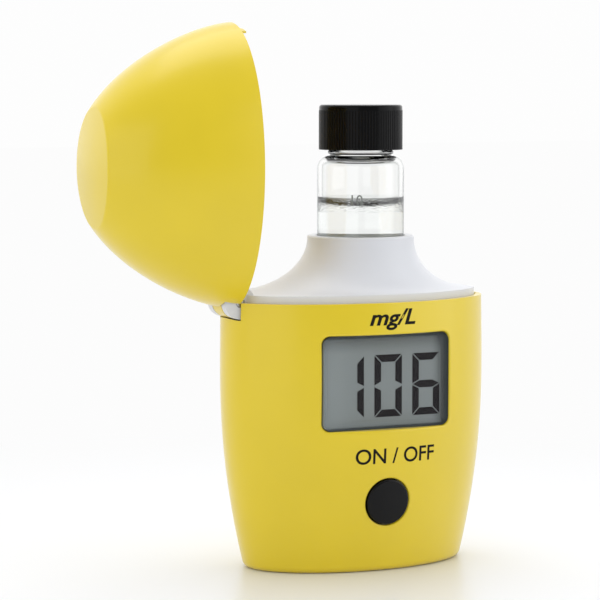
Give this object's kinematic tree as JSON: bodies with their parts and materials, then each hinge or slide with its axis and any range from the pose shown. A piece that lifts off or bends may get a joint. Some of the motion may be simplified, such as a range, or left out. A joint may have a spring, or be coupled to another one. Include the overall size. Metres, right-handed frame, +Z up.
{
  "type": "portable colorimeter",
  "caption": "Hand-held colorimeter with a hinged domed lid, a display, one button and a capped glass cuvette in a round well.",
  "frame": {"origin": "middle of the flat base face that the instrument stands on", "axes": "+Z up, -Y out of the display side, +X away from the lid's hinge"},
  "size_m": [0.0915, 0.0372, 0.1173],
  "materials": {
    "yellow_case": "satin moulded",
    "white_collar": "satin moulded",
    "steel": "turned",
    "spring_steel": "plated",
    "black_frame": "matt",
    "vial_glass": "clear",
    "sample": "clear liquid",
    "black_cap": "ribbed",
    "white_rubber": "soft",
    "window": "clear",
    "display": "grey green",
    "dark_rubber": "soft",
    "board": "coated",
    "chip": "moulded",
    "black_button": "polished",
    "filter": "coloured",
    "clear_lamp": "clear",
    "cell": "plain sleeve"
  },
  "bodies": {
    "housing": {"body_shell": "yellow_case", "collar": "white_collar", "hinge_pin": "steel", "inner_frame": "black_frame", "grip_spring": "spring_steel", "display_window": "window", "display_glass": "display", "contact_strips": "dark_rubber", "main_board": "board", "board_screws": "steel", "controller_chip": "chip", "amplifier_chip": "chip", "switch_body": "chip", "colour_filter": "filter", "lamp": "clear_lamp", "lamp_board": "board", "light_detector": "chip", "detector_board": "board", "frame_screws": "steel", "battery_cell": "cell", "top_contact": "spring_steel", "bottom_contact": "spring_steel", "battery_door": "yellow_case", "door_screw": "steel"},
    "lid": {"lid": "yellow_case"},
    "button": {"button": "black_button", "switch_plunger": "dark_rubber"},
    "cuvette": {"cuvette_vial": "vial_glass", "sample_liquid": "sample"},
    "liner": {"cap_liner": "white_rubber"},
    "cap": {"cap": "black_cap"}
  },
  "joints": [
    {"name": "lid_hinge", "type": "hinge", "parent": "housing", "child": "lid", "pos_m": [-0.0289, 0, 0.058], "axis": [0, 1, 0], "range_deg": [0, 90]},
    {"name": "cuvette_seat", "type": "slide", "parent": "housing", "child": "cuvette", "axis": [0, 0, 1], "range_m": [-0.0183, 0]},
    {"name": "cap_lift", "type": "slide", "parent": "cuvette", "child": "liner", "axis": [0, 0, 1], "range_m": [0, 0.0024]},
    {"name": "cap_turn", "type": "hinge", "parent": "liner", "child": "cap", "pos_m": [0.0019, 0, 0.0948], "axis": [0, 0, 1], "range_deg": [0, 360]},
    {"name": "button_press", "type": "slide", "parent": "housing", "child": "button", "axis": [0, 1, 0], "range_m": [0, 0.0005], "stiffness_N_per_m": 3000, "springref_m": -0.0002}
  ],
  "couplings": [
    {"joint": "cuvette_seat", "follows": "lid_hinge", "m_per_rad": -0.01165},
    {"joint": "cap_lift", "follows": "cap_turn", "m_per_rad": 0.00038193}
  ]
}
